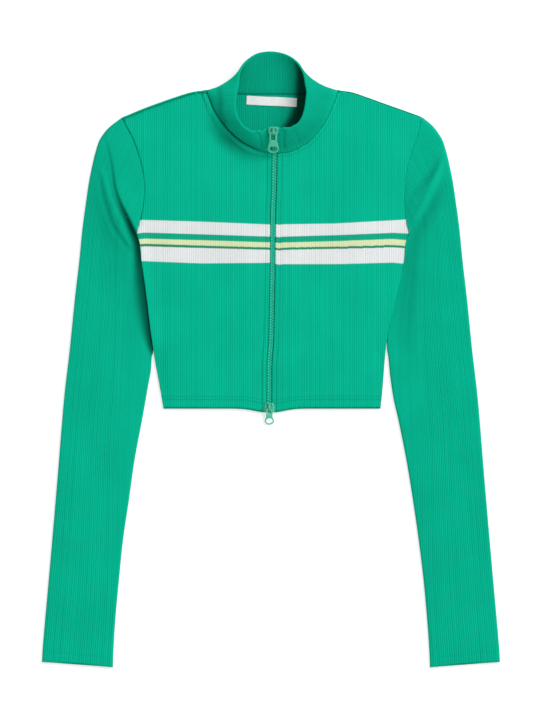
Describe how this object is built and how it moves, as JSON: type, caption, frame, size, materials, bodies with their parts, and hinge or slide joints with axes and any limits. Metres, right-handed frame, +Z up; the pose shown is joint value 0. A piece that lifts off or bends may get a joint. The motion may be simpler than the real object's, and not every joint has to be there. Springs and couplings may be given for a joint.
{
  "type": "cropped rib-knit zip sweatshirt with stand collar, laid flat",
  "caption": "Cropped rib-knit jacket with long sleeves, stand collar, full two-way zip and chest stripes, lying flat with its front up.",
  "frame": {"origin": "middle of the bounding box on the surface that the garment lies on", "axes": "+Z up out of the garment's front, +Y from hem to collar, +X to the wearer's left"},
  "size_m": [0.5302, 0.7078, 0.0353],
  "materials": {
    "rib_knit": "matt green rib knit with white and pale yellow chest stripes",
    "zip_tape": "green woven tape with moulded green teeth",
    "painted_zip": "pale green satin paint",
    "label_satin": "blank white satin"
  },
  "bodies": {
    "garment": {"back": "rib_knit", "front_right": "rib_knit", "front_left": "rib_knit", "sleeve_right": "rib_knit", "sleeve_left": "rib_knit", "collar": "rib_knit", "zip_right": "zip_tape", "zip_left": "zip_tape", "slider_top": "painted_zip", "slider_bottom": "painted_zip", "label": "label_satin"},
    "pull_top": {"pull_top": "painted_zip"},
    "pull_bottom": {"pull_bottom": "painted_zip"}
  },
  "joints": [
    {"name": "pull_top_hinge", "type": "hinge", "parent": "garment", "child": "pull_top", "pos_m": [0.00214, 0.25944, 0.03169], "axis": [-1, 0, 0], "range_deg": [0, 150]},
    {"name": "pull_bottom_hinge", "type": "hinge", "parent": "garment", "child": "pull_bottom", "pos_m": [-0.00248, -0.0574, 0.00945], "axis": [-1, 0, 0], "range_deg": [0, 150]}
  ]
}
